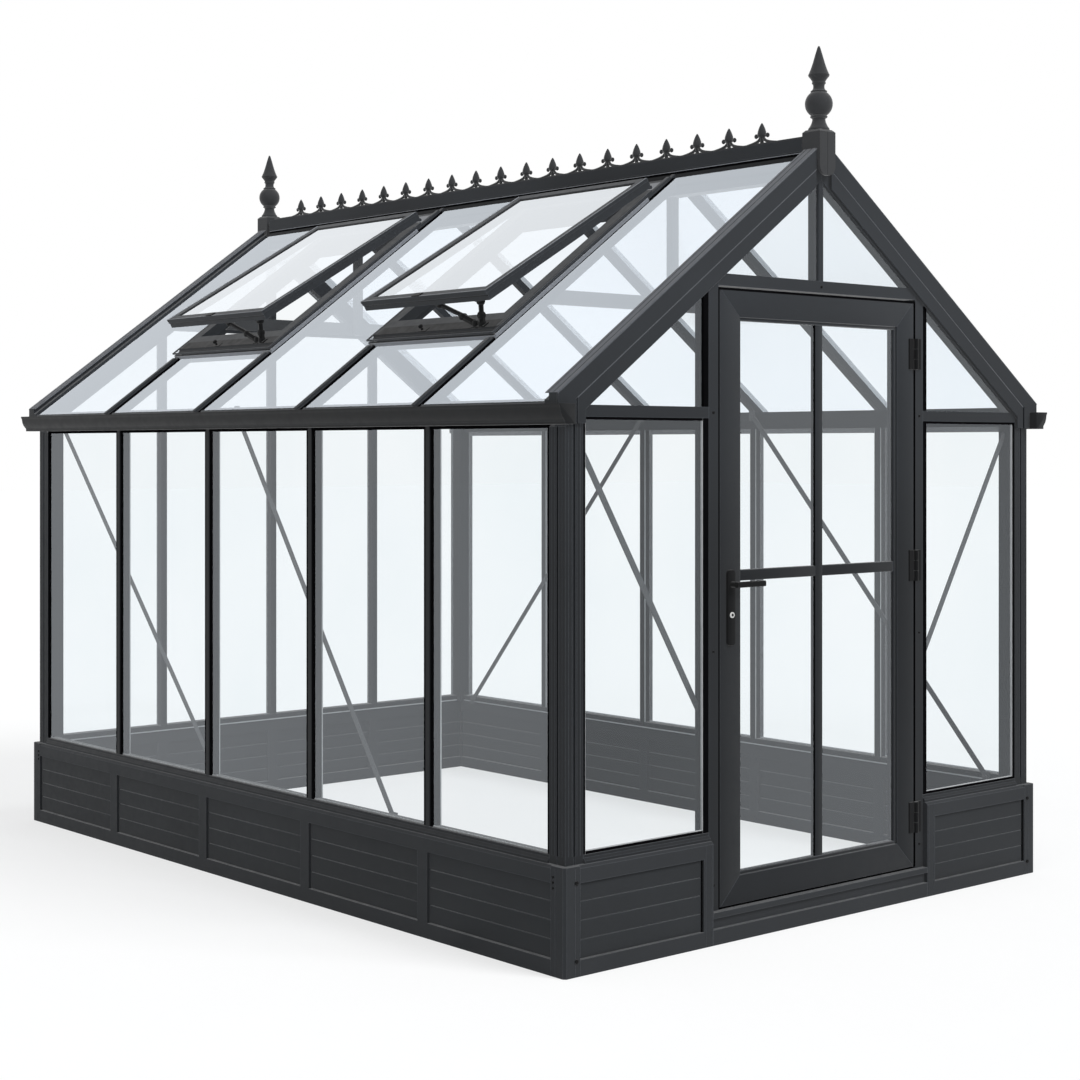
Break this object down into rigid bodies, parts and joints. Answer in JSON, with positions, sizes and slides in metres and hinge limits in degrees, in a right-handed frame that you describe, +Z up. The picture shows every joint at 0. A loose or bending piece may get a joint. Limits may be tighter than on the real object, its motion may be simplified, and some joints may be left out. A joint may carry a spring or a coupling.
{
  "type": "glass greenhouse",
  "caption": "Framed glass greenhouse on a low panelled base, with a hinged gable door, two raised roof vents, ridge cresting and finials.",
  "frame": {"origin": "middle of the footprint, on the ground", "axes": "+Z up, +Y along the side walls towards the back gable, X across; the door gable faces -Y"},
  "size_m": [2.344, 3.35, 2.8355],
  "materials": {
    "frame_coat": "satin",
    "base_frame": "satin",
    "base_boards": "satin",
    "crest": "satin",
    "black_fittings": "satin",
    "braces": "satin",
    "lock_metal": "brushed",
    "glass": "clear"
  },
  "bodies": {
    "root": {"back_collar": "frame_coat", "back_gable_bars": "frame_coat", "back_gable_glass": "glass", "base_corner_posts": "base_frame", "corner_posts": "frame_coat", "door_gable_bar": "frame_coat", "door_gable_braces": "braces", "door_header": "frame_coat", "door_posts": "frame_coat", "eave_beams": "frame_coat", "finials": "crest", "front_gable_glass": "glass", "gable_base_boards": "base_boards", "gable_base_frames": "base_frame", "gable_eave_bars": "frame_coat", "gable_rafters": "frame_coat", "left_base_frame": "base_frame", "left_gutter": "frame_coat", "left_roof_bars": "frame_coat", "left_roof_glass": "glass", "left_wall_bars": "frame_coat", "left_wall_glass": "glass", "post_hinge_leaves": "black_fittings", "ridge": "frame_coat", "ridge_cresting": "crest", "right_base_frame": "base_frame", "right_gutter": "frame_coat", "right_roof_bars": "frame_coat", "right_roof_glass": "glass", "right_wall_bars": "frame_coat", "right_wall_glass": "glass", "roof_ties": "braces", "side_base_boards": "base_boards", "sills": "frame_coat", "threshold": "base_frame", "vent_curbs": "frame_coat", "vent_glass": "glass", "vent_sashes": "frame_coat", "vent_stays": "black_fittings", "wall_braces": "braces"},
    "door": {"door_frame": "frame_coat", "door_glass": "glass", "door_hinge_leaves": "black_fittings", "handle_plates": "black_fittings", "door_lock": "lock_metal"},
    "lever": {"door_levers": "black_fittings"}
  },
  "joints": [
    {"name": "door_hinge", "type": "hinge", "parent": "root", "child": "door", "pos_m": [0.4735, -1.638, 1], "axis": [0, 0, 1], "range_deg": [0, 110]},
    {"name": "lever_turn", "type": "hinge", "parent": "door", "child": "lever", "pos_m": [-0.426, -1.609, 1.105], "axis": [0, 1, 0], "range_deg": [0, 40], "stiffness_Nm_per_rad": 2, "springref_deg": -17.19}
  ]
}
